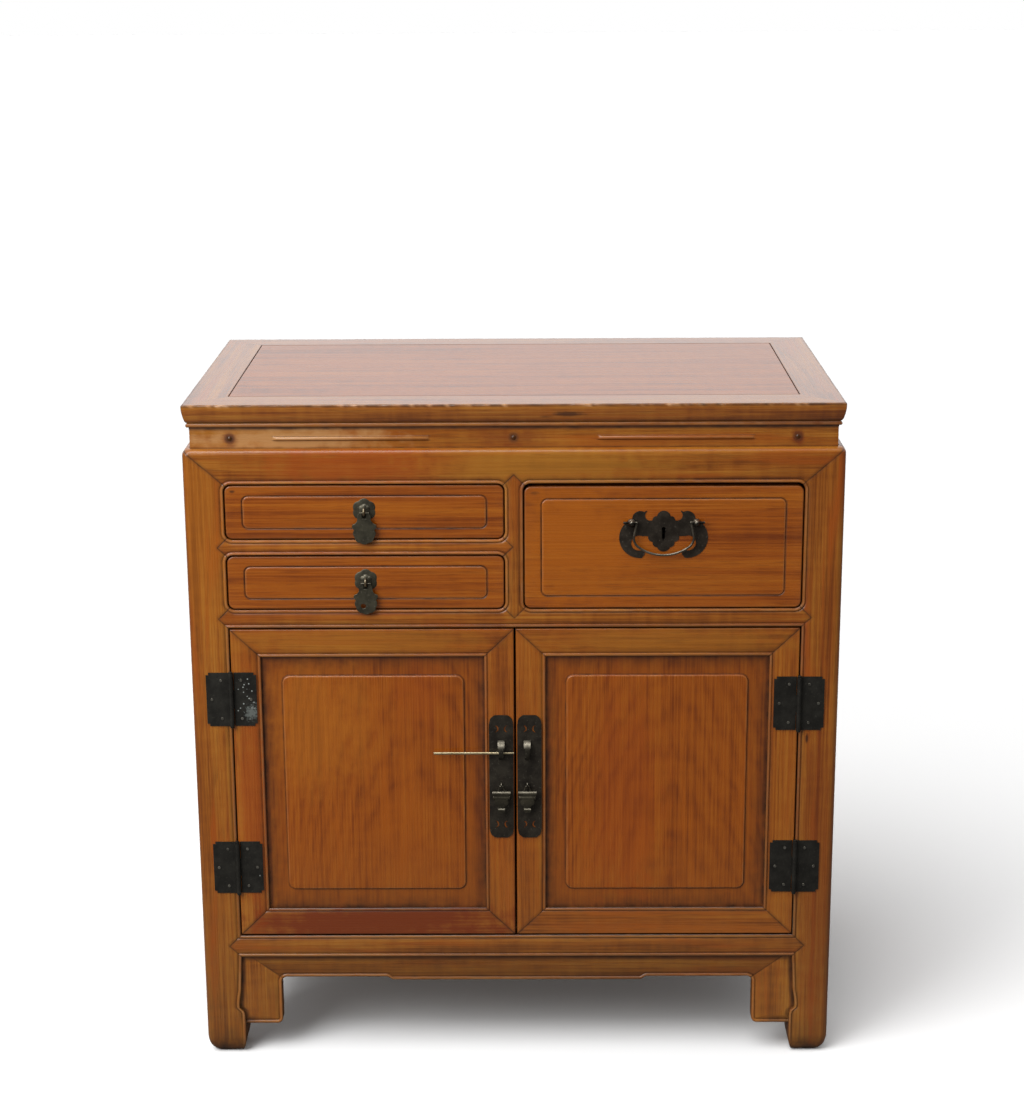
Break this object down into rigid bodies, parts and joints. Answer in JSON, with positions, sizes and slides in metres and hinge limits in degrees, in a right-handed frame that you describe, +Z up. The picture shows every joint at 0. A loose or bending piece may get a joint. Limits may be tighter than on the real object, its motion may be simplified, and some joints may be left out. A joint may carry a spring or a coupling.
{
  "type": "chest of drawers",
  "caption": "Waisted hardwood side cabinet with framed panel doors under drawers, beaded rails, scalloped pulls and a sliding lock pin.",
  "frame": {"origin": "middle of the bounding box seen from above, on the floor under the feet", "axes": "+X to the right of somebody facing the doors, +Y from the front to the back, +Z up"},
  "size_m": [0.76, 0.4474, 0.812],
  "materials": {
    "frame_wood": "oiled",
    "front_wood": "oiled",
    "top_wood": "polished",
    "plain_wood": "unfinished",
    "dark_metal": "oxidised",
    "worn_metal": "worn",
    "pin_brass": "satin"
  },
  "bodies": {
    "carcass": {"leg_front_left": "frame_wood", "leg_front_right": "frame_wood", "legs_back": "frame_wood", "top_rails_long": "frame_wood", "top_rails_end": "frame_wood", "divider_post": "frame_wood", "small_drawer_rail": "frame_wood", "middle_rail_front": "frame_wood", "middle_rails_rear": "frame_wood", "bottom_rail_front": "frame_wood", "bottom_rails_rear": "frame_wood", "apron_front": "frame_wood", "side_aprons": "frame_wood", "spandrels": "frame_wood", "waist_boards_long": "frame_wood", "waist_boards_end": "frame_wood", "waist_pegs": "frame_wood", "top_frame_front": "top_wood", "top_frame_back": "top_wood", "top_frame_ends": "top_wood", "top_panel": "top_wood", "top_battens": "plain_wood", "side_panels": "front_wood", "back_panels": "plain_wood", "cupboard_floor": "plain_wood", "drawer_runners": "plain_wood", "drawer_partition": "plain_wood", "post_hinge_leaves": "dark_metal", "hinge_pins": "dark_metal", "post_hinge_nails": "dark_metal"},
    "left_door": {"left_door_stiles": "front_wood", "left_door_rails": "front_wood", "left_door_panel": "front_wood", "left_door_hinge_leaves": "dark_metal", "left_door_hinge_nails": "dark_metal", "left_lock_plate": "dark_metal", "left_lock_staples": "worn_metal"},
    "left_pendant": {"left_door_pendant": "dark_metal"},
    "lock_pin": {"lock_pin": "pin_brass"},
    "right_door": {"right_door_stiles": "front_wood", "right_door_rails": "front_wood", "right_door_panel": "front_wood", "right_door_hinge_leaves": "dark_metal", "right_door_hinge_nails": "dark_metal", "right_lock_plate": "dark_metal", "right_lock_staples": "worn_metal"},
    "right_pendant": {"right_door_pendant": "dark_metal"},
    "upper_drawer": {"upper_drawer_front": "front_wood", "upper_drawer_box": "plain_wood", "upper_pull_plate": "dark_metal"},
    "upper_pull": {"upper_pull_pendant": "dark_metal"},
    "lower_drawer": {"lower_drawer_front": "front_wood", "lower_drawer_box": "plain_wood", "lower_pull_plate": "dark_metal"},
    "lower_pull": {"lower_pull_pendant": "dark_metal"},
    "large_drawer": {"large_drawer_front": "front_wood", "large_drawer_box": "plain_wood", "handle_plate": "dark_metal", "handle_posts": "worn_metal"},
    "handle": {"handle_bail": "worn_metal"}
  },
  "joints": [
    {"name": "left_door_hinge", "type": "hinge", "parent": "carcass", "child": "left_door", "pos_m": [-0.3334, -0.21535, 0.3519], "axis": [0, 0, -1], "range_deg": [0, 170]},
    {"name": "right_door_hinge", "type": "hinge", "parent": "carcass", "child": "right_door", "pos_m": [0.3334, -0.21535, 0.3519], "axis": [0, 0, 1], "range_deg": [0, 170]},
    {"name": "left_pendant_swing", "type": "hinge", "parent": "left_door", "child": "left_pendant", "pos_m": [-0.0167, -0.2181, 0.35175], "axis": [-1, 0, 0], "range_deg": [0, 95]},
    {"name": "right_pendant_swing", "type": "hinge", "parent": "right_door", "child": "right_pendant", "pos_m": [0.0141, -0.2181, 0.35175], "axis": [-1, 0, 0], "range_deg": [0, 95]},
    {"name": "lock_pin_slide", "type": "slide", "parent": "left_door", "child": "lock_pin", "axis": [1, 0, 0], "range_m": [0, 0.0385]},
    {"name": "upper_drawer_slide", "type": "slide", "parent": "carcass", "child": "upper_drawer", "axis": [0, -1, 0], "range_m": [0, 0.26]},
    {"name": "lower_drawer_slide", "type": "slide", "parent": "carcass", "child": "lower_drawer", "axis": [0, -1, 0], "range_m": [0, 0.26]},
    {"name": "large_drawer_slide", "type": "slide", "parent": "carcass", "child": "large_drawer", "axis": [0, -1, 0], "range_m": [0, 0.26]},
    {"name": "upper_pull_swing", "type": "hinge", "parent": "upper_drawer", "child": "upper_pull", "pos_m": [-0.17225, -0.2169, 0.68637], "axis": [-1, 0, 0], "range_deg": [0, 95]},
    {"name": "lower_pull_swing", "type": "hinge", "parent": "lower_drawer", "child": "lower_pull", "pos_m": [-0.17225, -0.2169, 0.60213], "axis": [-1, 0, 0], "range_deg": [0, 95]},
    {"name": "handle_swing", "type": "hinge", "parent": "large_drawer", "child": "handle", "pos_m": [0.17225, -0.2172, 0.67395], "axis": [-1, 0, 0], "range_deg": [0, 150]}
  ]
}
